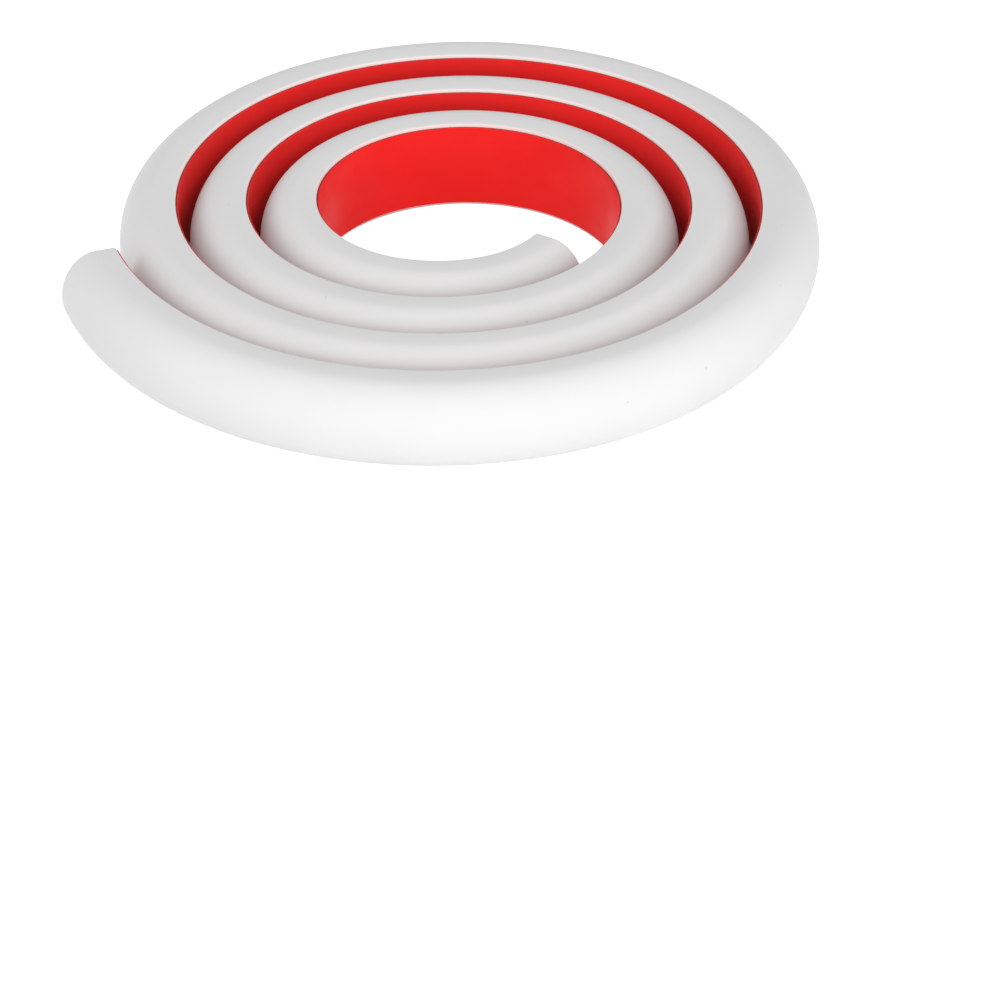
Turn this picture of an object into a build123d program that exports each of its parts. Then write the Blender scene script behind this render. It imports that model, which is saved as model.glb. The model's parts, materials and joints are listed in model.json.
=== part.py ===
from build123d import *

import math
import os

# Flexible raceway, latched shut and wound into a loose flat coil that lies on its latch edge.
# Millimetres. The origin is the middle of the coil's footprint, on the surface it rests on,
# and the outer end of the coil is cut square on the -X side, facing +Y.

# Outside of the section
WIDTH = 28.0  # across the adhesive back, which is the height of the coil
DEPTH = 17.0  # from the back to the crown of the cover
EDGE_RADIUS = 0.5  # rounding of both edges of the back

# Base of the section
FLOOR = 2.0  # base plate under the cable space
HINGE_WALL = 4.2  # solid side beside the hinge
HINGE_HEIGHT = 5.9  # middle of the living hinge above the back
HINGE_WEB = 1.0  # material left at the living hinge
HINGE_SLOT = 0.6  # mouth of the wedge-shaped slot that frees the hinge
LATCH_WALL = 3.0  # outer wall beside the groove
LATCH_HEIGHT = 5.2  # top of the outer wall and of the rib above the back
RIB = 2.5  # inner rib beside the groove
GROOVE_MOUTH = 3.8  # groove between the outer wall and the rib
GROOVE_FLOOR = 1.5  # base plate under the groove
GROOVE_UNDERCUT = 0.9  # how far the groove widens on each side below its mouth
MOUTH_LIP = 1.1  # straight height of the groove's mouth
LIP_SLOPE = 0.7  # height over which the groove widens below its mouth

# Cover of the section
CROWN_WALL = 5.7  # from the top of the cable space to the crown
SEAM = 0.25  # clearance all round the latch
TOOTH = 0.8  # thickness of the tooth that laps the rib
TOOTH_LAP = 1.1  # how far the tooth reaches below the rib's top

# Adhesive back
BACK_MARGIN = 1.0  # bare edge on each side of the tape
TAPE = 0.45
LINER = 0.2

# Coil
BORE_RADIUS = 31.8  # of the bare back at the inner end
TURN_GAP = 3.45  # from the liner of one turn to the crown of the next
TURNS = 3.369

# Worked out from the values above
QUARTER = math.degrees(math.pi / 2)
PITCH = DEPTH + TAPE + LINER + TURN_GAP
STEP = PITCH / 4  # radius lost from one quarter turn to the next
GROOVE_LOW = LATCH_WALL
GROOVE_HIGH = GROOVE_LOW + GROOVE_MOUTH
RIB_FACE = GROOVE_HIGH + RIB
TOOTH_TIP = LATCH_HEIGHT - TOOTH_LAP


def rectangle(x_low, x_high, y_low, y_high):
    """Upright rectangle between two heights above the back and two heights in the coil."""
    middle = Pos((x_low + x_high) / 2, (y_low + y_high) / 2)
    return middle * Rectangle(x_high - x_low, y_high - y_low)


def outline():
    """Outside of the closed section: x is the height above the back, y the height in the coil."""
    middle = WIDTH / 2
    hinge_side = EllipticalCenterArc(
        (HINGE_HEIGHT, middle), DEPTH - HINGE_HEIGHT, middle, 0, arc_size=QUARTER
    )
    latch_side = EllipticalCenterArc(
        (LATCH_HEIGHT, middle), DEPTH - LATCH_HEIGHT, middle, -QUARTER, arc_size=QUARTER
    )
    flats = Polyline((HINGE_HEIGHT, WIDTH), (0, WIDTH), (0, 0), (LATCH_HEIGHT, 0))
    face = make_face([hinge_side, latch_side, *flats.edges()])
    edges_of_back = face.vertices().filter_by(lambda corner: corner.X < EDGE_RADIUS / 2)
    return fillet(edges_of_back, EDGE_RADIUS)


def cable_space():
    """Hollow of the section, with the wedge-shaped slot that frees the living hinge."""
    hinge_side = WIDTH - HINGE_WALL
    tooth_side = RIB_FACE + SEAM + TOOTH
    middle = (hinge_side + tooth_side) / 2
    half = (hinge_side - tooth_side) / 2
    top = DEPTH - CROWN_WALL
    base_end = HINGE_HEIGHT - HINGE_SLOT / 2
    cover_end = HINGE_HEIGHT + HINGE_SLOT / 2
    hinge_arch = EllipticalCenterArc(
        (cover_end, middle), top - cover_end, half, 0, arc_size=QUARTER
    )
    tooth_arch = EllipticalCenterArc(
        (TOOTH_TIP, middle), top - TOOTH_TIP, half, -QUARTER, arc_size=QUARTER
    )
    walls = Polyline(
        (cover_end, hinge_side),
        (HINGE_HEIGHT, WIDTH - HINGE_WEB),
        (base_end, hinge_side),
        (FLOOR, hinge_side),
        (FLOOR, RIB_FACE),
        (TOOTH_TIP, RIB_FACE),
        (TOOTH_TIP, tooth_side),
    )
    return make_face([hinge_arch, tooth_arch, *walls.edges()])


def groove(top):
    """Undercut groove of the base, from its floor to the given height above the back."""
    lip = LATCH_HEIGHT - MOUTH_LIP
    widest = lip - LIP_SLOPE
    corners = [
        (top, GROOVE_LOW),
        (lip, GROOVE_LOW),
        (widest, GROOVE_LOW - GROOVE_UNDERCUT),
        (GROOVE_FLOOR, GROOVE_LOW),
        (GROOVE_FLOOR, GROOVE_HIGH - GROOVE_UNDERCUT),
        (widest, GROOVE_HIGH + GROOVE_UNDERCUT),
        (lip, GROOVE_HIGH),
        (top, GROOVE_HIGH),
    ]
    return make_face(Polyline(*corners, close=True))


def seam():
    """Gap from the outside, round the arrow-headed tongue, over the rib and past the tooth."""
    cover = LATCH_HEIGHT + SEAM
    tongue = offset(groove(cover + SEAM), -SEAM, kind=Kind.INTERSECTION)
    return (
        groove(cover)
        - tongue
        + rectangle(LATCH_HEIGHT, cover, -SEAM, GROOVE_LOW)
        + rectangle(LATCH_HEIGHT, cover, GROOVE_HIGH, RIB_FACE + SEAM)
        + rectangle(TOOTH_TIP, cover, RIB_FACE, RIB_FACE + SEAM)
    )


def coil_line():
    """Foot of the bare back, as tangent quarter circles from the outer end inwards.

    Their centres go round a square with sides of one step, placed so that the finished coil's
    footprint is centred on the origin.
    """
    centre = Vector(STEP / 2, 3 * STEP / 2)
    radius = BORE_RADIUS + TURNS * PITCH - STEP / 2
    angle = 2 * QUARTER
    remaining = TURNS * 4 * QUARTER
    arcs = []
    while remaining > 0:
        arcs.append(CenterArc(centre, radius, angle, min(QUARTER, remaining)))
        angle += QUARTER
        remaining -= QUARTER
        radius -= STEP
        centre += Vector(STEP, 0).rotate(Axis.Z, angle)
    return Wire(arcs)


def wind(section):
    """Carry a section round the whole coil, from its outer mouth."""
    line = coil_line()
    mouth = Plane(line @ 0, x_dir=(-1, 0, 0), z_dir=(0, 1, 0))
    return sweep(mouth * section, path=line)


def channel():
    """One-piece extrusion: base, living hinge and snapped-down cover."""
    return wind(outline() - cable_space() - seam())


def adhesive_tape():
    """Adhesive strip along the back."""
    return wind(rectangle(-TAPE, 0, BACK_MARGIN, WIDTH - BACK_MARGIN))


def release_liner():
    """Film over the adhesive."""
    return wind(rectangle(-TAPE - LINER, -TAPE, BACK_MARGIN, WIDTH - BACK_MARGIN))


os.makedirs("parts", exist_ok=True)
for piece in (channel, adhesive_tape, release_liner):
    export_step(piece(), f"parts/{piece.__name__}.step")
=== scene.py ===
"""Looks of a flexible snap-shut raceway, wound into a loose flat coil with its liner inwards."""

import json
import logging
import math
from collections import defaultdict
from dataclasses import dataclass, field
from enum import Enum
from typing import ClassVar

import bmesh
import bpy
import numpy as np
from mathutils import Matrix, Vector
from mathutils.geometry import intersect_line_line

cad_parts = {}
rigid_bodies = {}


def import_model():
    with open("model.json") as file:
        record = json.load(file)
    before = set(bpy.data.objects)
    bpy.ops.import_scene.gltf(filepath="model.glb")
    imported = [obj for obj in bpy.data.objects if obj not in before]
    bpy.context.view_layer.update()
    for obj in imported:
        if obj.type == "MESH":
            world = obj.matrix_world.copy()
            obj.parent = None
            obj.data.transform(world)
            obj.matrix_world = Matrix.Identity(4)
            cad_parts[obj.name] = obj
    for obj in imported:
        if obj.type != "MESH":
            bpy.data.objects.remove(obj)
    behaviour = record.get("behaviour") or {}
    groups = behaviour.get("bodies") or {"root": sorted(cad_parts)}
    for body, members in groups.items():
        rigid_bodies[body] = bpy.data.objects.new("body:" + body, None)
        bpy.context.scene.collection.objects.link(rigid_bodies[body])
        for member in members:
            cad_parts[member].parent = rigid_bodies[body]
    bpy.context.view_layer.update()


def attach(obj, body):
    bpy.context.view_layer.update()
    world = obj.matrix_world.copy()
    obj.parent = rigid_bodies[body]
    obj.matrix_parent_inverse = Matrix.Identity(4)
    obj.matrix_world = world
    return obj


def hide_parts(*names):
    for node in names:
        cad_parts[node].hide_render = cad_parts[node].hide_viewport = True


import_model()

LOG = logging.getLogger("raceway")
MM = 0.001
SAME_PLACE = 1e-6  # two points closer than this, in metres, are one corner
SAME_PLANE = 1e-5  # a face that lies within this many metres of a cut's plane is part of the cut
UNWOUND = "unwound"  # attribute with each point's place in the straightened stock
QUARTER = math.pi / 2
UPWARDS = Vector((0, 0, 1))
Colour = tuple[float, float, float, float]
Range = tuple[float, float]


def grey(level: float) -> Colour:
    """Give an opaque neutral colour."""
    return (level, level, level, 1.0)


class Slot(Enum):
    """Material slots of the record."""

    CHANNEL = "channel_vinyl"
    TAPE = "tape_foam"
    LINER = "liner_film"


class SeenBy(Enum):
    """Kinds of ray that look at the background instead of lighting the coil."""

    CAMERA = "Is Camera Ray"
    GLOSS = "Is Glossy Ray"
    GLASS = "Is Transmission Ray"


# ---------------------------------------------------------------- line of the coil


@dataclass(frozen=True)
class QuarterArc:
    """One arc of the coil's line, with its angles in radians and its start along the stock."""

    centre: Vector
    radius: float
    start: float
    turned: float
    along: float

    def outwards(self, turned: float) -> Vector:
        """Give the level direction away from the centre, part of the way round."""
        angle = self.start + turned
        return Vector((math.cos(angle), math.sin(angle), 0))


@dataclass(frozen=True)
class CoilLine:
    """Foot of the bare back, as tangent quarter circles from the outer mouth inwards.

    Their centres go round a square with sides of a quarter of the pitch.
    """

    bore_radius: float = 31.8 * MM
    pitch: float = 21.1 * MM
    turns: float = 3.369
    deepest: ClassVar[float] = -1 * MM  # the coil's pieces lie between these heights
    tallest: ClassVar[float] = 18 * MM
    slack: ClassVar[float] = 1e-4  # angle past an arc's ends that still belongs to it

    def arcs(self) -> list[QuarterArc]:
        """List the arcs in the order in which the stock is wound.

        Returns:
            Quarter circles, and a shorter last one that ends at the inner mouth.
        """
        step = self.pitch / 4
        centre = Vector((step / 2, 3 * step / 2, 0))
        radius = self.bore_radius + self.turns * self.pitch - step / 2
        angle, remaining, along = math.pi, self.turns * math.tau, 0.0
        arcs = []
        while remaining > 0:
            turned = min(QUARTER, remaining)
            arcs.append(QuarterArc(centre.copy(), radius, angle, turned, along))
            along += turned * radius
            angle += turned
            remaining -= turned
            radius -= step
            centre += step * Vector((math.cos(angle), math.sin(angle), 0))
        return arcs

    def unwind(self, points: np.ndarray) -> np.ndarray:
        """Find where points of the coil lie in the straightened stock.

        Args:
            points: Places in the coil, one row each.

        Returns:
            One row each of length along the stock, height above its back and height in the coil.
        """
        places = np.column_stack([np.zeros(len(points)), np.zeros(len(points)), points[:, 2]])
        for arc in self.arcs():
            away = points[:, :2] - np.array(arc.centre.xy)
            angle = np.arctan2(away[:, 1], away[:, 0]) - arc.start
            turned = (angle + self.slack) % math.tau - self.slack
            height = np.hypot(away[:, 0], away[:, 1]) - arc.radius
            here = (turned <= arc.turned + self.slack) & (height > self.deepest)
            here &= height < self.tallest
            places[here, 0] = arc.along + turned[here] * arc.radius
            places[here, 1] = height[here]
        return places


# ---------------------------------------------------------------- drawing and winding


@dataclass(frozen=True)
class Corner:
    """Corner of a section: its height above the back, its height in the coil and its rounding."""

    out: float
    up: float
    rounding: float = 0.0
    segments: int = 1


def arch(
    centre: tuple[float, float],
    reach: float,
    half: float,
    sweep: Range,
    steps: int,
) -> list[Corner]:
    """Space corners along part of an ellipse.

    Args:
        centre: Height above the back and height in the coil of the ellipse's middle.
        reach: Half of its size away from the back.
        half: Half of its size across the stock.
        sweep: First and last angle in degrees, where 0 is straight away from the back.
        steps: Number of chords.

    Returns:
        The corners, both ends included.
    """
    angles = [math.radians(a) for a in np.linspace(*sweep, steps + 1)]
    return [
        Corner(centre[0] + reach * math.cos(a), centre[1] + half * math.sin(a)) for a in angles
    ]


def set_in(path: list[Corner], clearance: float) -> list[Corner]:
    """Move an open run of corners to its right, side by side.

    Args:
        path: The corners to follow.
        clearance: Distance between the run and the moved one.

    Returns:
        Sharp corners where the moved sides meet, with the roundings of the path.
    """
    points = [Vector((corner.out, corner.up, 0)) for corner in path]
    sides = []
    for here, there in zip(points, points[1:]):
        run = (there - here).normalized()
        aside = Vector((run.y, -run.x, 0)) * clearance
        sides.append((here + aside, there + aside))
    moved = [sides[0][0]]
    for side, following in zip(sides, sides[1:]):
        moved.append(intersect_line_line(*side, *following)[0])
    moved.append(sides[-1][1])
    return [
        Corner(point.x, point.y, corner.rounding, corner.segments)
        for point, corner in zip(moved, path)
    ]


@dataclass
class WoundStrip:
    """A section drawn upright at the outer mouth and wound along the coil's line."""

    line: CoilLine
    name: ClassVar[str]
    node: ClassVar[str]
    slot: ClassVar[Slot]
    steps: ClassVar[int] = 32  # stations in a quarter turn
    eased: ClassVar[float] = 0.08 * MM  # easing of the cut edges
    cut_slot: ClassVar[int] = 1  # material of the cut ends
    smooth_below: ClassVar[float] = math.radians(30)  # sharper edges stay hard

    def corners(self) -> list[Corner]:
        """List the corners of the section, all the way round."""
        raise NotImplementedError

    def place(self, corner: Corner) -> Vector:
        """Give a corner's place in the plane of the outer mouth."""
        arc = self.line.arcs()[0]
        return arc.centre + arc.outwards(0) * (arc.radius + corner.out) + UPWARDS * corner.up

    def draw(self) -> bpy.types.Object:
        """Draw the section corner by corner, fill it and round its corners.

        Returns:
            The piece, a single face so far, left in edit mode.
        """
        corners = self.corners()
        points = [self.place(corner) for corner in corners]
        bpy.ops.object.select_all(action="DESELECT")
        bpy.ops.mesh.primitive_plane_add(size=MM, location=points[0])
        piece = bpy.context.object
        piece.name = piece.data.name = self.name
        bpy.ops.object.transform_apply(location=True, rotation=True, scale=True)
        bpy.ops.object.mode_set(mode="EDIT")
        bpy.ops.mesh.select_all(action="SELECT")
        bpy.ops.mesh.merge(type="CENTER")
        for here, there in zip(points, points[1:] + points[:1]):
            bpy.ops.mesh.extrude_vertices_move(TRANSFORM_OT_translate={"value": there - here})
        bpy.ops.mesh.select_all(action="SELECT")
        bpy.ops.mesh.remove_doubles(threshold=SAME_PLACE)
        bpy.ops.mesh.edge_face_add()
        self.round_corners(piece)
        return piece

    def round_corners(self, piece: bpy.types.Object) -> None:
        """Round the section's corners, those of one size together.

        Args:
            piece: The drawn section, in edit mode.
        """
        alike = defaultdict(list)
        for corner in self.corners():
            if corner.rounding:
                alike[corner.rounding, corner.segments].append(self.place(corner))
        for (rounding, segments), places in alike.items():
            bpy.ops.mesh.select_all(action="DESELECT")
            shape = bmesh.from_edit_mesh(piece.data)
            for vertex in shape.verts:
                vertex.select = any((vertex.co - place).length < SAME_PLACE for place in places)
            bmesh.update_edit_mesh(piece.data)
            bpy.ops.mesh.bevel(offset=rounding, segments=segments, affect="VERTICES")

    def wind(self) -> None:
        """Spin the drawn face round each arc in turn and turn the skin outwards."""
        bpy.ops.mesh.select_all(action="SELECT")
        for arc in self.line.arcs():
            steps = max(1, round(self.steps * arc.turned / QUARTER))
            bpy.ops.mesh.spin(steps=steps, angle=arc.turned, center=arc.centre, axis=(0, 0, -1))
        bpy.ops.mesh.select_all(action="SELECT")
        bpy.ops.mesh.normals_make_consistent(inside=False)

    def ease_cuts(self, piece: bpy.types.Object) -> None:
        """Ease the edges of both cut ends and give the cuts the second material.

        Args:
            piece: The wound piece, in edit mode.
        """
        first, last = self.line.arcs()[0], self.line.arcs()[-1]
        cuts = (
            (first.centre, -UPWARDS.cross(first.outwards(0))),
            (last.centre, UPWARDS.cross(last.outwards(last.turned))),
        )
        for centre, facing in cuts:
            bpy.ops.mesh.select_all(action="DESELECT")
            shape = bmesh.from_edit_mesh(piece.data)
            for face in shape.faces:
                off = max(abs((vertex.co - centre).dot(facing)) for vertex in face.verts)
                if off < SAME_PLANE:
                    face.select_set(True)
            bmesh.update_edit_mesh(piece.data)
            bpy.ops.transform.translate(value=facing * -self.eased)
            bpy.ops.mesh.inset(thickness=self.eased, depth=self.eased)
            bpy.ops.mesh.select_more()
            piece.active_material_index = self.cut_slot
            bpy.ops.object.material_slot_assign()

    def mark_length(self, piece: bpy.types.Object) -> None:
        """Store each point's place in the straightened stock for the materials to follow.

        Args:
            piece: The finished piece.
        """
        mesh = piece.data
        points = np.empty(len(mesh.vertices) * 3, np.float32)
        mesh.vertices.foreach_get("co", points)
        places = self.line.unwind(points.reshape(-1, 3).astype(float))
        attribute = mesh.attributes.new(UNWOUND, "FLOAT_VECTOR", "POINT")
        attribute.data.foreach_set("vector", places.astype(np.float32).ravel())

    def build(self, skin: bpy.types.Material, cut: bpy.types.Material) -> None:
        """Model the piece, dress it and put it on the frame.

        Args:
            skin: Material of the surfaces along the stock.
            cut: Material of both cut ends.
        """
        piece = self.draw()
        piece.data.materials.append(skin)
        piece.data.materials.append(cut)
        self.wind()
        self.ease_cuts(piece)
        bpy.ops.object.mode_set(mode="OBJECT")
        bpy.ops.object.shade_smooth_by_angle(angle=self.smooth_below)
        self.mark_length(piece)
        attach(piece, "root")
        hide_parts(self.node)
        LOG.info("%s: %d faces", piece.name, len(piece.data.polygons))


@dataclass
class LatchedChannel(WoundStrip):
    """One-piece extrusion: flat base, living hinge and cover snapped down over the rib."""

    name = "latched_channel"
    node = "channel"
    slot = Slot.CHANNEL

    width: float = 28 * MM
    depth: float = 17 * MM
    edge: float = 0.5 * MM
    floor: float = 2 * MM
    hinge_wall: float = 4.2 * MM
    hinge_height: float = 5.9 * MM
    hinge_web: float = 1 * MM
    hinge_slot: float = 0.6 * MM
    hinge_tip: float = 0.1 * MM  # blunt end of the slot
    latch_wall: float = 3 * MM
    latch_height: float = 5.2 * MM
    rib: float = 2.5 * MM
    groove_mouth: float = 3.8 * MM
    groove_floor: float = 1.5 * MM
    undercut: float = 0.9 * MM
    mouth_lip: float = 1.1 * MM
    lip_slope: float = 0.7 * MM
    crown_wall: float = 5.7 * MM
    seam: float = 0.25 * MM
    tooth: float = 0.8 * MM
    tooth_lap: float = 1.1 * MM
    lip_edge: float = 0.2 * MM  # rounding where the base and the cover part
    groove_edge: float = 0.15 * MM  # roundings inside, from here down
    tongue_root: float = 0.1 * MM
    rib_foot: float = 0.3 * MM
    hinge_foot: float = 0.6 * MM
    crown_chords: int = 26  # in each half of the crown
    space_chords: int = 14  # in each half of the cable space's arch

    @property
    def groove_end(self) -> float:
        """Give the height in the coil of the groove's side at the rib."""
        return self.latch_wall + self.groove_mouth

    @property
    def rib_face(self) -> float:
        """Give the height in the coil of the rib's side at the cable space."""
        return self.latch_wall + self.groove_mouth + self.rib

    @property
    def hinge_side(self) -> float:
        """Give the height in the coil of the cable space's side at the hinge."""
        return self.width - self.hinge_wall

    def groove(self) -> list[Corner]:
        """List the corners of the undercut groove, from the outer wall's top to the rib's."""
        low, high, soft = self.latch_wall, self.groove_end, self.groove_edge
        lip = self.latch_height - self.mouth_lip
        widest = lip - self.lip_slope
        return [
            Corner(self.latch_height, low, self.lip_edge, segments=2),
            Corner(lip, low, soft),
            Corner(widest, low - self.undercut, soft),
            Corner(self.groove_floor, low, soft),
            Corner(self.groove_floor, high - self.undercut, soft),
            Corner(widest, high + self.undercut, soft),
            Corner(lip, high, soft),
            Corner(self.latch_height, high, self.lip_edge, segments=2),
        ]

    def base(self) -> list[Corner]:
        """List the base's corners, from the back's latch edge over the groove to the hinge."""
        return [
            Corner(0, 0, self.edge, segments=4),
            Corner(self.latch_height, 0, self.lip_edge, segments=2),
            *self.groove(),
            Corner(self.latch_height, self.rib_face, self.lip_edge, segments=2),
            Corner(self.floor, self.rib_face, self.rib_foot, segments=2),
            Corner(self.floor, self.hinge_side, self.hinge_foot, segments=3),
            Corner(self.hinge_height - self.hinge_slot / 2, self.hinge_side),
            Corner(self.hinge_height - self.hinge_tip / 2, self.width - self.hinge_web),
        ]

    def cover(self) -> list[Corner]:
        """List the cover's corners, from the hinge through the tooth and tongue to the crown."""
        middle = self.width / 2
        top = self.depth - self.crown_wall
        tooth_face = self.rib_face + self.seam
        tooth_side = tooth_face + self.tooth
        tooth_tip = self.latch_height - self.tooth_lap
        slot_end = self.hinge_height + self.hinge_slot / 2
        under = self.latch_height + self.seam
        space_middle = (self.hinge_side + tooth_side) / 2
        space_half = (self.hinge_side - tooth_side) / 2
        reach, hinge_reach = self.depth - self.latch_height, self.depth - self.hinge_height
        parting = math.degrees(math.acos(self.seam / reach))
        groove = self.groove()
        groove[0] = Corner(under, self.latch_wall, self.tongue_root)
        groove[-1] = Corner(under, self.groove_end, self.tongue_root)
        tongue = set_in(groove, self.seam)[::-1]
        crown, space = self.crown_chords, self.space_chords
        latch_side = arch((self.latch_height, middle), reach, middle, (-parting, 0), crown)
        lip = latch_side[0]
        return [
            Corner(self.hinge_height + self.hinge_tip / 2, self.width - self.hinge_web),
            *arch((slot_end, space_middle), top - slot_end, space_half, (90, 0), space),
            *arch((tooth_tip, space_middle), top - tooth_tip, space_half, (0, -90), space)[1:],
            Corner(tooth_tip, tooth_face, self.groove_edge),
            Corner(under, tooth_face),
            *tongue,
            Corner(lip.out, lip.up, self.lip_edge / 2, segments=2),
            *latch_side[1:],
            *arch((self.hinge_height, middle), hinge_reach, middle, (0, 90), crown)[1:],
        ]

    def corners(self) -> list[Corner]:
        """List the corners of the whole latched section."""
        return [*self.base(), *self.cover(), Corner(0, self.width, self.edge, segments=4)]


@dataclass
class BackStrip(WoundStrip):
    """A thin strip of one thickness that is stuck along the back."""

    margin: float = 1 * MM
    width: float = 28 * MM
    thickness: float = 0.2 * MM
    depth: float = 0.0  # of its outer face below the bare back
    eased = 0.03 * MM
    softness: ClassVar[int] = 5  # the thickness is this many times the rounding of its edges

    def corners(self) -> list[Corner]:
        """List the strip's four corners."""
        top, bottom = -self.depth, -self.depth - self.thickness
        low, high = self.margin, self.width - self.margin
        soft = self.thickness / self.softness
        return [
            Corner(top, low, soft),
            Corner(top, high, soft),
            Corner(bottom, high, soft),
            Corner(bottom, low, soft),
        ]


@dataclass
class FoamTape(BackStrip):
    """Dark red adhesive foam along the back."""

    name = "foam_tape"
    node = "adhesive_tape"
    slot = Slot.TAPE
    thickness: float = 0.45 * MM


@dataclass
class LinerFilm(BackStrip):
    """Red film that covers the adhesive until the stock is stuck down."""

    name = "liner_film"
    node = "release_liner"
    slot = Slot.LINER
    depth: float = 0.45 * MM


# ---------------------------------------------------------------- node boards and shared effects


@dataclass
class NodeBoard:
    """Adds nodes to one tree and wires them as they are added."""

    tree: bpy.types.NodeTree
    first_colour: ClassVar[int] = 6  # numbers of a colour Mix node's sockets
    second_colour: ClassVar[int] = 7
    mixed_colour: ClassVar[int] = 2

    def add(
        self, kind: str, feeds: dict[str | int, object] | None = None, **settings: object
    ) -> bpy.types.Node:
        """Add a node.

        Args:
            kind: Type of the node.
            feeds: Socket or value for each fed input, by name or number.
            **settings: Properties of the node.

        Returns:
            The new node.
        """
        node = self.tree.nodes.new(kind)
        for name, value in settings.items():
            setattr(node, name, value)
        for name, value in (feeds or {}).items():
            if isinstance(value, bpy.types.NodeSocket):
                self.tree.links.new(value, node.inputs[name])
            else:
                node.inputs[name].default_value = value
        return node

    def maths(self, operation: str, *values: object) -> bpy.types.NodeSocket:
        """Add a Math node and give its output."""
        return self.add("ShaderNodeMath", dict(enumerate(values)), operation=operation).outputs[0]

    def spread(
        self, value: bpy.types.NodeSocket, source: Range, result: Range
    ) -> bpy.types.NodeSocket:
        """Add a clamped Map Range node.

        Args:
            value: What is mapped.
            source: The range that it comes from.
            result: The range that it goes to.

        Returns:
            The mapped value.
        """
        feeds = {
            "Value": value,
            "From Min": source[0],
            "From Max": source[1],
            "To Min": result[0],
            "To Max": result[1],
        }
        return self.add("ShaderNodeMapRange", feeds).outputs["Result"]

    def blend(self, factor: object, first: object, second: object) -> bpy.types.NodeSocket:
        """Add a colour Mix node.

        Args:
            factor: Share of the second colour.
            first: First colour.
            second: Second colour.

        Returns:
            The blended colour.
        """
        feeds = {"Factor": factor, self.first_colour: first, self.second_colour: second}
        node = self.add("ShaderNodeMix", feeds, data_type="RGBA")
        return node.outputs[self.mixed_colour]

    def sum_of(self, *parts: tuple[object, float]) -> bpy.types.NodeSocket:
        """Add up values, each times its own weight.

        Args:
            *parts: Each value and its weight.

        Returns:
            The sum.
        """
        total, *more = [self.maths("MULTIPLY", value, weight) for value, weight in parts]
        for part in more:
            total = self.maths("ADD", total, part)
        return total

    def relief(
        self, height: bpy.types.NodeSocket, strength: float, depth: float
    ) -> bpy.types.NodeSocket:
        """Turn a height between 0 and 1 into a normal.

        Args:
            height: The height.
            strength: Strength of the bump.
            depth: Distance that a height of 1 stands for.

        Returns:
            The normal.
        """
        feeds = {"Height": height, "Strength": strength, "Distance": depth}
        return self.add("ShaderNodeBump", feeds).outputs["Normal"]

    def length_of(self, vector: bpy.types.NodeSocket) -> bpy.types.NodeSocket:
        """Measure a vector."""
        node = self.add("ShaderNodeVectorMath", {0: vector}, operation="LENGTH")
        return node.outputs["Value"]

    def object_place(self) -> bpy.types.NodeSocket:
        """Give the shaded point's place on its object."""
        return self.add("ShaderNodeTexCoord").outputs["Object"]

    def use(self, group: bpy.types.NodeTree, **feeds: object) -> bpy.types.NodeSocket:
        """Place a shared effect with its own values and give what it puts out."""
        return self.add("ShaderNodeGroup", feeds, node_tree=group).outputs[0]


def new_material(name: str) -> tuple[bpy.types.Material, NodeBoard]:
    """Make an empty material and its board."""
    material = bpy.data.materials.new(name)
    material.use_nodes = True
    material.node_tree.nodes.clear()
    return material, NodeBoard(material.node_tree)


@dataclass
class EffectGroup:
    """A shader node group under construction, with named inputs and one output."""

    name: str
    inputs: dict[str, float | None]  # default of each value, or None for a vector
    output: str
    tree: bpy.types.NodeTree = field(init=False)
    board: NodeBoard = field(init=False)
    source: bpy.types.Node = field(init=False)
    result: bpy.types.Node = field(init=False)

    def __post_init__(self) -> None:
        """Make the group and its sockets."""
        self.tree = bpy.data.node_groups.new(self.name, "ShaderNodeTree")
        for name, default in self.inputs.items():
            kind = "NodeSocketVector" if default is None else "NodeSocketFloat"
            socket = self.tree.interface.new_socket(name, in_out="INPUT", socket_type=kind)
            if default is not None:
                socket.default_value = default
        self.tree.interface.new_socket(self.output, in_out="OUTPUT", socket_type="NodeSocketFloat")
        self.board = NodeBoard(self.tree)
        self.source = self.board.add("NodeGroupInput")
        self.result = self.board.add("NodeGroupOutput")

    def put(self, value: bpy.types.NodeSocket) -> None:
        """Send a value out of the group."""
        self.tree.links.new(value, self.result.inputs[self.output])


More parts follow.
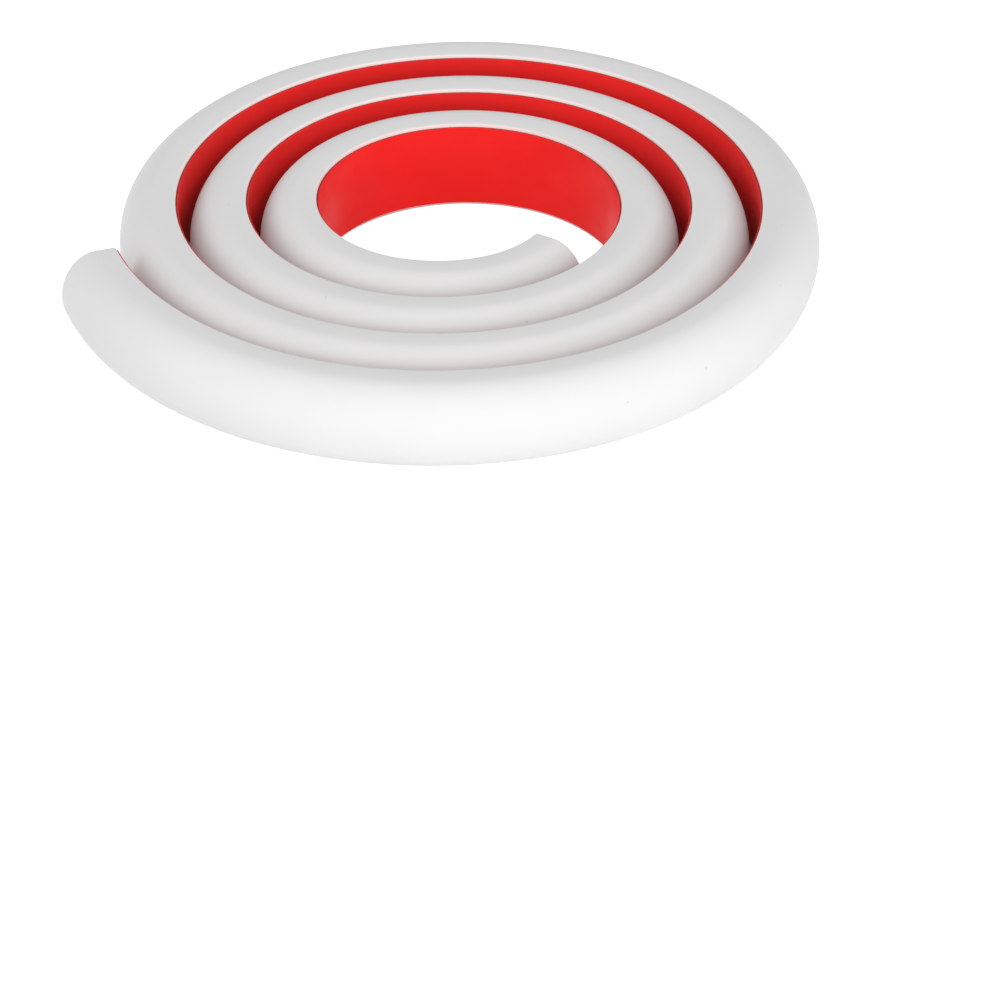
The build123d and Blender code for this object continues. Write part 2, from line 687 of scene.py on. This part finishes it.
@dataclass
class SharedEffects:
    """Surface effects that several finishes share, each built once."""

    streaks: bpy.types.NodeTree = field(init=False)
    clouds: bpy.types.NodeTree = field(init=False)
    specks: bpy.types.NodeTree = field(init=False)
    edge_rub_and_highlight: bpy.types.NodeTree = field(init=False)
    streak_contrast: ClassVar[Range] = (0.3, 0.7)  # noise that becomes 0 and 1
    cloud_contrast: ClassVar[Range] = (0.35, 0.65)
    largest_speck: ClassVar[float] = 0.12  # radius as a share of its cell
    rub_and_highlight_wander: ClassVar[float] = 0.8  # how far noise moves the end of the band of wear and painted highlight
    rub_and_highlight_fade: ClassVar[Range] = (0.5, 1.4)  # distances from the edge, in bands, where it ends

    def __post_init__(self) -> None:
        """Build the groups."""
        self.streaks = self.build_streaks()
        self.clouds = self.build_clouds()
        self.specks = self.build_specks()
        self.edge_rub_and_highlight = self.build_edge_rub_and_highlight()

    def build_streaks(self) -> bpy.types.NodeTree:
        """Build lines that run along the stock, as a die or a roller leaves them.

        Returns:
            A group that turns the unwound place into a height between 0 and 1.
        """
        group = EffectGroup(
            "stock_streaks", {"Place": None, "Across": 900.0, "Along": 6.0}, "Height"
        )
        board, source = group.board, group.source
        split = board.add("ShaderNodeSeparateXYZ", {0: source.outputs["Place"]})
        across, along = source.outputs["Across"], source.outputs["Along"]
        stretched = board.add(
            "ShaderNodeCombineXYZ",
            {
                0: board.maths("MULTIPLY", split.outputs[0], along),
                1: board.maths("MULTIPLY", split.outputs[1], across),
                2: board.maths("MULTIPLY", split.outputs[2], across),
            },
        )
        noise = board.add(
            "ShaderNodeTexNoise",
            {"Vector": stretched.outputs[0], "Scale": 1.0, "Detail": 3.0, "Roughness": 0.6},
        )
        group.put(board.spread(noise.outputs["Fac"], self.streak_contrast, (0, 1)))
        return group.tree

    def build_clouds(self) -> bpy.types.NodeTree:
        """Build slow, soft variation, as of handling and uneven mixing.

        Returns:
            A group that turns a place into a mask between 0 and 1.
        """
        group = EffectGroup("handling_clouds", {"Place": None, "Scale": 30.0}, "Mask")
        board, source = group.board, group.source
        noise = board.add(
            "ShaderNodeTexNoise",
            {
                "Vector": source.outputs["Place"],
                "Scale": source.outputs["Scale"],
                "Detail": 4.0,
                "Roughness": 0.55,
                "Distortion": 0.6,
            },
        )
        group.put(board.spread(noise.outputs["Fac"], self.cloud_contrast, (0, 1)))
        return group.tree

    def build_specks(self) -> bpy.types.NodeTree:
        """Build sparse specks of dust, each a small dot.

        Returns:
            A group that turns a place into a mask between 0 and 1.
        """
        group = EffectGroup("dust_specks", {"Place": None, "Scale": 250.0, "Share": 0.06}, "Mask")
        board, source = group.board, group.source
        cells = board.add(
            "ShaderNodeTexVoronoi",
            {"Vector": source.outputs["Place"], "Scale": source.outputs["Scale"]},
        )
        pick = board.add("ShaderNodeSeparateXYZ", {0: cells.outputs["Color"]})
        chosen = board.maths("LESS_THAN", pick.outputs[0], source.outputs["Share"])
        size = board.maths("MULTIPLY", pick.outputs[1], self.largest_speck)
        dot = board.maths("LESS_THAN", cells.outputs["Distance"], size)
        group.put(board.maths("MULTIPLY", chosen, dot))
        return group.tree

    def build_edge_rub_and_highlight(self) -> bpy.types.NodeTree:
        """Build a band along both edges of the back, where the stock is handled and rubbed, and
        where a lighter colour paints the highlight of the rounded edges.

        Returns:
            A group that turns the unwound place into a mask between 0 and 1.
        """
        group = EffectGroup(
            "edge_rub_and_highlight",
            {"Place": None, "Middle": 14 * MM, "Half": 14 * MM, "Band": 0.8 * MM},
            "Mask",
        )
        board, source = group.board, group.source
        split = board.add("ShaderNodeSeparateXYZ", {0: source.outputs["Place"]})
        wander = board.add(
            "ShaderNodeTexNoise",
            {"Vector": source.outputs["Place"], "Scale": 350.0, "Detail": 3.0},
        )
        off = board.maths("SUBTRACT", split.outputs[2], source.outputs["Middle"])
        inside = board.maths("SUBTRACT", source.outputs["Half"], board.maths("ABSOLUTE", off))
        height = board.maths("ABSOLUTE", split.outputs[1])
        from_edge = board.maths("ADD", inside, height)
        share = board.maths("DIVIDE", from_edge, source.outputs["Band"])
        moved = board.maths("MULTIPLY", wander.outputs["Fac"], self.rub_and_highlight_wander)
        wear_and_highlight = board.maths("ADD", share, moved)
        group.put(board.spread(wear_and_highlight, self.rub_and_highlight_fade, (1, 0)))
        return group.tree


# ---------------------------------------------------------------- finishes


@dataclass(frozen=True)
class Finish:
    """What every finish has: the shared effects, its reflection and its relief."""

    effects: SharedEffects
    name: ClassVar[str]
    ior: ClassVar[float]
    gloss: ClassVar[float] = 0.5
    relief_strength: ClassVar[float]
    relief_depth: ClassVar[float]

    def start(self) -> tuple[bpy.types.Material, NodeBoard, bpy.types.NodeSocket]:
        """Make the empty material.

        Returns:
            The material, its board and the unwound place.
        """
        material, board = new_material(self.name)
        place = board.add("ShaderNodeAttribute", attribute_name=UNWOUND).outputs["Vector"]
        return material, board, place

    def close(
        self,
        board: NodeBoard,
        colour: bpy.types.NodeSocket,
        rough: bpy.types.NodeSocket,
        height: bpy.types.NodeSocket,
    ) -> None:
        """Add the surface shader and the output.

        Args:
            board: Board of the material.
            colour: Colour of the surface.
            rough: Its roughness.
            height: Its fine relief, between 0 and 1.
        """
        feeds = {
            "Base Color": colour,
            "Roughness": rough,
            "IOR": self.ior,
            "Specular IOR Level": self.gloss,
            "Normal": board.relief(height, self.relief_strength, self.relief_depth),
        }
        surface = board.add("ShaderNodeBsdfPrincipled", feeds)
        board.add("ShaderNodeOutputMaterial", {"Surface": surface.outputs["BSDF"]})

    def material(self) -> bpy.types.Material:
        """Build the material."""
        raise NotImplementedError


@dataclass(frozen=True)
class SatinVinyl(Finish):
    """Soft white vinyl as it leaves the die, with faint die lines, signs of handling and painted
    light: a pink glow on the bare margins and highlights along the edges.
    """

    name = "satin_vinyl"
    ior = 1.5
    gloss = 0.15
    relief_strength = 0.35
    relief_depth = 0.02 * MM

    colour: Colour = (0.87, 0.87, 0.865, 1)
    shade: Colour = (0.84, 0.845, 0.845, 1)
    dust: Colour = (0.55, 0.53, 0.50, 1)
    # lighter along the edges: handling wear and a painted highlight
    rubbed_and_highlit: Colour = (0.93, 0.93, 0.925, 1)
    painted_pink_glow: Colour = (0.99, 0.84, 0.82, 1)  # painted pink glow of the red film's bounced light, brighter than the vinyl, on the bare margins beside the film
    shade_share: float = 0.6
    dust_share: float = 0.35
    rubbed_and_highlit_share: float = 0.5
    painted_pink_glow_share: float = 0.9
    painted_pink_glow_fade: Range = (0.1 * MM, 0.5 * MM)  # heights above the back between which it ends
    roughness: Range = (0.42, 0.5)
    line_roughness: float = 0.05  # added by the fine lines
    rub_polish: float = 0.08  # taken off by rubbing

    def material(self) -> bpy.types.Material:
        """Build the material."""
        material, board, place = self.start()
        effects = self.effects
        where = board.object_place()
        clouds = board.use(effects.clouds, Place=where, Scale=28.0)
        lines = board.use(effects.streaks, Place=place, Across=700.0, Along=5.0)
        fine = board.use(effects.streaks, Place=place, Across=2600.0, Along=25.0)
        specks = board.use(effects.specks, Place=where, Scale=220.0, Share=0.05)
        rub_and_highlight = board.use(effects.edge_rub_and_highlight, Place=place)
        grain = board.add("ShaderNodeTexNoise", {"Vector": where, "Scale": 2500.0, "Detail": 2.0})
        above = board.maths("ABSOLUTE", board.add("ShaderNodeSeparateXYZ", {0: place}).outputs[1])
        margin = board.spread(above, self.painted_pink_glow_fade, (self.painted_pink_glow_share, 0))
        shaded = board.maths("MULTIPLY", clouds, self.shade_share)
        wear_and_highlight = board.maths("MULTIPLY", rub_and_highlight, self.rubbed_and_highlit_share)
        colour = board.blend(shaded, self.colour, self.shade)
        colour = board.blend(wear_and_highlight, colour, self.rubbed_and_highlit)
        # painted pink glow and highlight on the bare margins next to the film
        colour = board.blend(margin, colour, self.painted_pink_glow)
        colour = board.blend(board.maths("MULTIPLY", specks, self.dust_share), colour, self.dust)
        rough = board.spread(clouds, (0, 1), self.roughness)
        rough = board.maths("ADD", rough, board.maths("MULTIPLY", fine, self.line_roughness))
        rough = board.maths("SUBTRACT", rough, board.maths("MULTIPLY", rub_and_highlight, self.rub_polish))
        height = board.sum_of((lines, 0.6), (fine, 0.2), (grain.outputs["Fac"], 0.2))
        self.close(board, colour, rough, height)
        return material


@dataclass(frozen=True)
class KnifeCutVinyl(Finish):
    """The same vinyl where it is cut across: matt, with the drag lines of the blade."""

    name = "knife_cut_vinyl"
    ior = 1.5
    relief_strength = 0.5
    relief_depth = 0.03 * MM

    colour: Colour = (0.86, 0.86, 0.85, 1)
    shade: Colour = (0.78, 0.78, 0.77, 1)
    roughness: Range = (0.55, 0.72)
    slant: float = 0.5  # turn of the drag lines, in radians

    def material(self) -> bpy.types.Material:
        """Build the material."""
        material, board, place = self.start()
        where = board.object_place()
        clouds = board.use(self.effects.clouds, Place=where, Scale=220.0)
        turned = board.add("ShaderNodeMapping", {"Vector": place, "Rotation": (self.slant, 0, 0)})
        drag = board.add(
            "ShaderNodeTexWave",
            {"Vector": turned.outputs[0], "Scale": 900.0, "Distortion": 6.0, "Detail": 3.0},
            bands_direction="Z",
        ).outputs["Fac"]
        colour = board.blend(clouds, self.colour, self.shade)
        self.close(board, colour, board.spread(drag, (0, 1), self.roughness), drag)
        return material


@dataclass(frozen=True)
class AdhesiveFoam(Finish):
    """Dark red closed-cell foam with tacky faces."""

    name = "adhesive_foam"
    ior = 1.45
    relief_strength = 0.6
    relief_depth = 0.05 * MM

    colour: Colour = (0.28, 0.02, 0.02, 1)
    pale: Colour = (0.38, 0.05, 0.05, 1)
    roughness: Range = (0.75, 0.95)

    def material(self) -> bpy.types.Material:
        """Build the material."""
        material, board, place = self.start()
        cells = board.add("ShaderNodeTexVoronoi", {"Vector": place, "Scale": 6000.0})
        depth = cells.outputs["Distance"]
        clouds = board.use(self.effects.clouds, Place=place, Scale=300.0)
        colour = board.blend(board.maths("MULTIPLY", clouds, depth), self.colour, self.pale)
        self.close(board, colour, board.spread(clouds, (0, 1), self.roughness), depth)
        return material


@dataclass(frozen=True)
class ReleaseFilm(Finish):
    """Satin red film, faintly rippled across where the coil shortens it."""

    name = "release_film"
    ior = 1.2
    relief_strength = 0.25
    relief_depth = 0.08 * MM

    colour: Colour = (0.985, 0.025, 0.023, 1)
    shade: Colour = (0.94, 0.019, 0.019, 1)
    # lighter along the edges: handling wear and a painted highlight
    rubbed_and_highlit: Colour = (0.98, 0.07, 0.07, 1)
    bounced: Colour = (0.72, 0.5, 0.5, 1)  # what its light on the next turn looks like
    shade_share: float = 0.5
    rubbed_and_highlit_share: float = 0.3
    rub_and_highlight_half: float = 13 * MM  # half of the film's width
    rub_and_highlight_band: float = 0.9 * MM
    bounce_reach: Range = (14 * MM, 22 * MM)  # path lengths between which the tinge ends
    roughness: Range = (0.36, 0.46)
    line_roughness: float = 0.05  # added by the fine lines

    def material(self) -> bpy.types.Material:
        """Build the material."""
        material, board, place = self.start()
        effects = self.effects
        clouds = board.use(effects.clouds, Place=place, Scale=60.0)
        lines = board.use(effects.streaks, Place=place, Across=500.0, Along=10.0)
        ripples = board.use(effects.streaks, Place=place, Across=25.0, Along=130.0)
        rub_and_highlight = board.use(effects.edge_rub_and_highlight, Place=place, Half=self.rub_and_highlight_half, Band=self.rub_and_highlight_band)
        shaded = board.maths("MULTIPLY", clouds, self.shade_share)
        wear_and_highlight = board.maths("MULTIPLY", rub_and_highlight, self.rubbed_and_highlit_share)
        colour = board.blend(shaded, self.colour, self.shade)
        colour = board.blend(wear_and_highlight, colour, self.rubbed_and_highlit)
        path = board.add("ShaderNodeLightPath")
        near = board.spread(path.outputs["Ray Length"], self.bounce_reach, (1, 0))
        near = board.maths("MULTIPLY", near, path.outputs["Is Diffuse Ray"])
        colour = board.blend(near, colour, self.bounced)
        rough = board.spread(clouds, (0, 1), self.roughness)
        rough = board.maths("ADD", rough, board.maths("MULTIPLY", lines, self.line_roughness))
        self.close(board, colour, rough, board.sum_of((ripples, 0.9), (lines, 0.1)))
        return material


# ---------------------------------------------------------------- studio and camera


@dataclass(frozen=True)
class Lamp:
    """A soft square lamp, placed round the coil as seen from the camera."""

    name: str
    aside: float  # degrees to the right of the camera
    elevation: float  # degrees above the floor
    distance: float  # metres, as is the size
    size: float
    power: float  # watts


@dataclass
class Studio:
    """Pale floor, even light from all round and soft lamps."""

    facing: float  # direction in which the camera looks, in degrees from +Y towards +X
    line: CoilLine
    lamps: tuple[Lamp, ...] = (
        Lamp("low_key_lamp", aside=36, elevation=6, distance=2.4, size=0.5, power=9.8),
        Lamp("high_key_lamp", aside=10, elevation=27, distance=2.4, size=1.0, power=11.8),
        Lamp("fill_lamp", aside=-80, elevation=24, distance=2.4, size=1.2, power=5.5),
    )
    surround: float = 0.62  # strength of the even light
    floor_colour: float = 0.90
    floor_lift: float = 0.80  # light added to the floor for the rays that look at it
    floor_size: float = 12.0
    floor_sides: int = 96
    mouth_margin: float = 0.02  # part of a turn by which the mask stops short of the inner mouth
    shift: float = 0.34  # part of the even light moved from the far side to the camera's

    @staticmethod
    def looked_at(board: NodeBoard) -> bpy.types.NodeSocket:
        """Give 1 for the rays that look at the background and 0 for the rest."""
        path = board.add("ShaderNodeLightPath")
        seen = [path.outputs[kind.value] for kind in SeenBy]
        either = board.maths("MAXIMUM", seen[0], seen[1])
        return board.maths("MAXIMUM", either, seen[2])

    def clear_of_coil(self, board: NodeBoard) -> bpy.types.NodeSocket:
        """Tell the floor outside the coil and in its bore from the floor between its turns.

        Args:
            board: Board of the floor's material.

        Returns:
            1 where the floor is clear of the coil and 0 between its turns.
        """
        line = self.line
        middle = Vector((line.pitch / 4, line.pitch / 4, 0))
        where = board.object_place()
        away = board.add("ShaderNodeVectorMath", {0: middle, 1: where}, operation="SUBTRACT")
        split = board.add("ShaderNodeSeparateXYZ", {0: away.outputs[0]})
        radius = board.length_of(away.outputs[0])
        angle = board.maths("ARCTAN2", split.outputs[1], split.outputs[0])
        turned = board.maths("FRACT", board.maths("DIVIDE", angle, math.tau))
        nearer = board.maths("MULTIPLY", turned, line.pitch)
        outer = board.maths("SUBTRACT", line.bore_radius + line.turns * line.pitch, nearer)
        extra = board.maths("LESS_THAN", turned, line.turns % 1 - self.mouth_margin)
        turns = board.maths("ADD", extra, math.floor(line.turns) - 1)
        inner = board.maths("SUBTRACT", outer, board.maths("MULTIPLY", turns, line.pitch))
        outside = board.maths("GREATER_THAN", radius, outer)
        return board.maths("MAXIMUM", outside, board.maths("LESS_THAN", radius, inner))

    def build_floor(self) -> None:
        """Lay the floor, a wide disc on which the coil lies."""
        bpy.ops.object.select_all(action="DESELECT")
        bpy.ops.mesh.primitive_circle_add(
            vertices=self.floor_sides,
            radius=self.floor_size / 2,
            fill_type="NGON",
            location=(0, 0, 0),
        )
        floor = bpy.context.object
        floor.name = "studio_floor"
        material, board = new_material("studio_floor")
        paint = board.add("ShaderNodeBsdfDiffuse", {"Color": grey(self.floor_colour)})
        share = board.maths("MULTIPLY", self.clear_of_coil(board), self.floor_lift)
        strength = board.maths("MULTIPLY", self.looked_at(board), share)
        lift = board.add("ShaderNodeEmission", {"Color": grey(1.0), "Strength": strength})
        both = board.add("ShaderNodeAddShader", {0: paint.outputs[0], 1: lift.outputs[0]})
        board.add("ShaderNodeOutputMaterial", {"Surface": both.outputs[0]})
        floor.data.materials.append(material)

    def build_surround(self) -> None:
        """Light the world softly, a little more from the camera's side, and show it white."""
        world = bpy.data.worlds.new("studio_surround")
        bpy.context.scene.world = world
        world.use_nodes = True
        world.node_tree.nodes.clear()
        board = NodeBoard(world.node_tree)
        away = math.radians(self.facing)
        direction = board.add("ShaderNodeTexCoord").outputs["Generated"]
        behind = board.add(
            "ShaderNodeVectorMath",
            {0: direction, 1: (math.sin(away), math.cos(away), 0)},
            operation="DOT_PRODUCT",
        ).outputs["Value"]
        low, high = self.surround * (1 - self.shift), self.surround * (1 + self.shift)
        even = board.spread(behind, (-1, 1), (high, low))
        seen = self.looked_at(board)
        unseen = board.maths("SUBTRACT", 1.0, seen)
        strength = board.maths("ADD", seen, board.maths("MULTIPLY", unseen, even))
        light = board.add("ShaderNodeBackground", {"Color": grey(1.0), "Strength": strength})
        board.add("ShaderNodeOutputWorld", {"Surface": light.outputs[0]})

    def build_lamp(self, lamp: Lamp) -> None:
        """Hang a lamp and turn it to the coil.

        Args:
            lamp: Where it hangs, its size and its power.
        """
        toward = math.radians(self.facing - lamp.aside)
        rise = math.radians(lamp.elevation)
        back = Vector(
            (-math.sin(toward) * math.cos(rise), -math.cos(toward) * math.cos(rise), math.sin(rise))
        )
        bpy.ops.object.light_add(type="AREA", location=back * lamp.distance)
        light = bpy.context.object
        light.name = lamp.name
        light.rotation_euler = back.to_track_quat("Z", "Y").to_euler()
        light.data.size = lamp.size
        light.data.energy = lamp.power

    def build(self) -> None:
        """Build the floor, the surround and the lamps."""
        self.build_floor()
        self.build_surround()
        for lamp in self.lamps:
            self.build_lamp(lamp)
        bpy.context.scene.view_settings.view_transform = "Standard"


@dataclass(frozen=True)
class ProductCamera:
    """Long lens that looks down on the coil from its front left.

    The picture is square, and the target lands on the given pixel.
    """

    target: tuple[float, float, float] = (5.3 * MM, 5.3 * MM, 14 * MM)
    facing: float = 15.25  # degrees from +Y towards +X
    elevation: float = 30.43  # degrees above the floor
    distance: float = 3.9
    focal_pixels: float = 13013  # focal length, where the picture is 1000 pixels wide
    roll: float = 0.016  # in radians
    landing: tuple[float, float] = (451.86, 240.59)
    picture: int = 1000
    sensor: float = 36.0

    def build(self) -> None:
        """Place the camera and make it the scene's own."""
        turn, rise = math.radians(self.facing), math.radians(self.elevation)
        level = Vector((math.cos(turn), -math.sin(turn), 0))
        away = Vector((math.sin(turn), math.cos(turn), 0))
        forward = away * math.cos(rise) - UPWARDS * math.sin(rise)
        upward = level.cross(forward)
        right = level * math.cos(self.roll) - upward * math.sin(self.roll)
        up = upward * math.cos(self.roll) + level * math.sin(self.roll)
        aside = self.picture / 2 - self.landing[0]
        below = self.picture / 2 - self.landing[1]
        aim = (forward * self.focal_pixels + right * aside - up * below).normalized()
        right = aim.cross(up).normalized()
        up = right.cross(aim)
        bpy.ops.object.camera_add()
        camera = bpy.context.object
        camera.name = "product_camera"
        camera.data.sensor_width = self.sensor
        camera.data.lens = self.focal_pixels / self.picture * self.sensor
        place = Vector(self.target) - forward * self.distance
        camera.matrix_world = Matrix.Translation(place) @ Matrix(
            (right, up, -aim)
        ).transposed().to_4x4()
        bpy.context.scene.camera = camera


def main() -> None:
    """Build the camera, the studio and the pieces of the coil."""
    logging.basicConfig(level=logging.INFO, format="%(name)s: %(message)s")
    line = CoilLine()
    camera = ProductCamera()
    camera.build()
    Studio(camera.facing, line).build()
    effects = SharedEffects()
    vinyl = SatinVinyl(effects).material()
    cut = KnifeCutVinyl(effects).material()
    foam = AdhesiveFoam(effects).material()
    film = ReleaseFilm(effects).material()
    LatchedChannel(line).build(vinyl, cut)
    FoamTape(line).build(foam, foam)
    LinerFilm(line).build(film, film)


if __name__ == "__main__":
    main()
